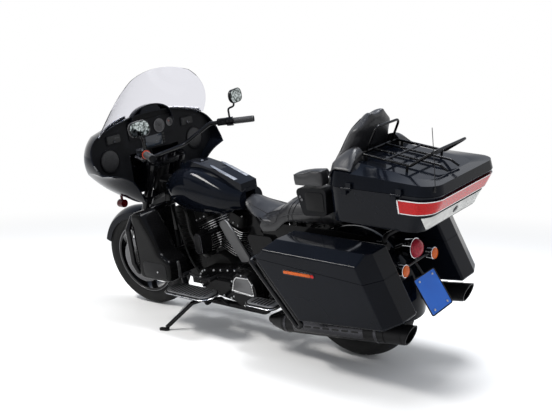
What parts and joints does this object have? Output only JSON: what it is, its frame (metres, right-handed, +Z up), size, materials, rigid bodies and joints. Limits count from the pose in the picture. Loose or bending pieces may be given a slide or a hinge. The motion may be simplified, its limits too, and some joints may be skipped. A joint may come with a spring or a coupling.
{
  "type": "touring cruiser motorcycle",
  "caption": "Full-dress touring cruiser with frame-mounted fairing, V-twin engine, hard saddlebags, trunk and backrest, leaning on its side stand with the bars turned a little left.",
  "frame": {"origin": "centre of the bounding box on the floor, with the machine parked on its side stand", "axes": "+X forward, +Y to the rider's left, +Z up from the floor"},
  "size_m": [2.5925, 1.0458, 1.4873],
  "materials": {
    "body_paint": "deep black clear-coated paint",
    "gloss_black": "gloss black enamel over steel and castings",
    "satin_black": "satin black heat-proof coat",
    "frame_black": "semi-gloss black powder coat",
    "engine_black": "wrinkle black with machined fin edges",
    "rim_black": "gloss black cast aluminium with machined edges",
    "tyre": "black rubber with road tread",
    "belt_rubber": "matt black toothed belt",
    "seat_leather": "grained black leather with sewn seams",
    "black_plastic": "fine-textured black plastic",
    "red_lens": "ribbed red lamp lens",
    "amber_lens": "ribbed amber lamp lens",
    "lamp_glass": "clear lamp glass over a bright reflector",
    "clear_screen": "clear acrylic windshield",
    "plate_blue": "blank blue enamelled sheet"
  },
  "bodies": {
    "chassis": {"frame": "frame_black", "swingarm": "frame_black", "drive_belt": "belt_rubber", "engine_cases": "engine_black", "cylinders": "engine_black", "primary_cover": "gloss_black", "air_cleaner": "gloss_black", "horn_cover": "gloss_black", "exhaust": "satin_black", "engine_guard": "gloss_black", "leg_shields": "body_paint", "floorboards": "satin_black", "bag_guards": "gloss_black", "fuel_tank": "body_paint", "tank_console": "body_paint", "seat": "seat_leather", "arm_rests": "seat_leather", "side_covers": "body_paint", "rear_fender": "body_paint", "tail_lamps": "red_lens", "plate": "plate_blue", "left_bag": "body_paint", "right_bag": "body_paint", "trunk_base": "body_paint", "trunk_lamps": "red_lens", "speaker_pods": "black_plastic", "fairing_shell": "body_paint", "fairing_dash": "black_plastic", "windshield": "clear_screen", "headlamps": "lamp_glass", "front_signals": "red_lens"},
    "steering": {"forks": "gloss_black", "front_fender": "body_paint", "brake_calipers": "satin_black", "handlebar": "gloss_black", "mirrors": "gloss_black"},
    "front_wheel": {"front_tyre": "tyre", "front_rim": "rim_black"},
    "rear_wheel": {"rear_tyre": "tyre", "rear_rim": "rim_black"},
    "stand": {"side_stand": "satin_black"},
    "left_lid": {"left_bag_lid": "body_paint"},
    "right_lid": {"right_bag_lid": "body_paint"},
    "trunk_top": {"trunk_lid": "body_paint", "luggage_rack": "gloss_black", "backrest": "seat_leather"},
    "fuel_flap": {"fuel_door": "body_paint"}
  },
  "joints": [
    {"name": "steering_turn", "type": "hinge", "parent": "chassis", "child": "steering", "pos_m": [0.72883, -0.00513, 0.84868], "axis": [-0.4366, 0.1746, 0.8826], "range_deg": [-38, 26]},
    {"name": "front_wheel_spin", "type": "hinge", "parent": "steering", "child": "front_wheel", "pos_m": [0.97735, -0.11268, 0.31305], "axis": [-0.0944, 0.9667, -0.2379], "continuous": true},
    {"name": "rear_wheel_spin", "type": "hinge", "parent": "chassis", "child": "rear_wheel", "pos_m": [-0.64772, -0.11115, 0.31605], "axis": [-0.0004, 0.981, -0.1942], "continuous": true},
    {"name": "side_stand_fold", "type": "hinge", "parent": "chassis", "child": "stand", "pos_m": [0.27698, 0.06053, 0.1721], "axis": [-0.0739, 0.6909, 0.7191], "range_deg": [0, 95]},
    {"name": "left_bag_open", "type": "hinge", "parent": "chassis", "child": "left_lid", "pos_m": [-0.70933, 0.35966, 0.50584], "axis": [0.9975, 0.0142, 0.0697], "range_deg": [-80, 0]},
    {"name": "right_bag_open", "type": "hinge", "parent": "chassis", "child": "right_lid", "pos_m": [-0.70899, -0.47415, 0.67094], "axis": [0.9975, 0.0142, 0.0697], "range_deg": [0, 80]},
    {"name": "trunk_open", "type": "hinge", "parent": "chassis", "child": "trunk_top", "pos_m": [-1.01656, 0.3104, 0.88067], "axis": [0.9989, 0.0095, 0.0458], "range_deg": [-85, 0]},
    {"name": "fuel_door_open", "type": "hinge", "parent": "chassis", "child": "fuel_flap", "pos_m": [0.45259, 0.01549, 0.95337], "axis": [-0.0004, 0.981, -0.1942], "range_deg": [0, 95]}
  ]
}
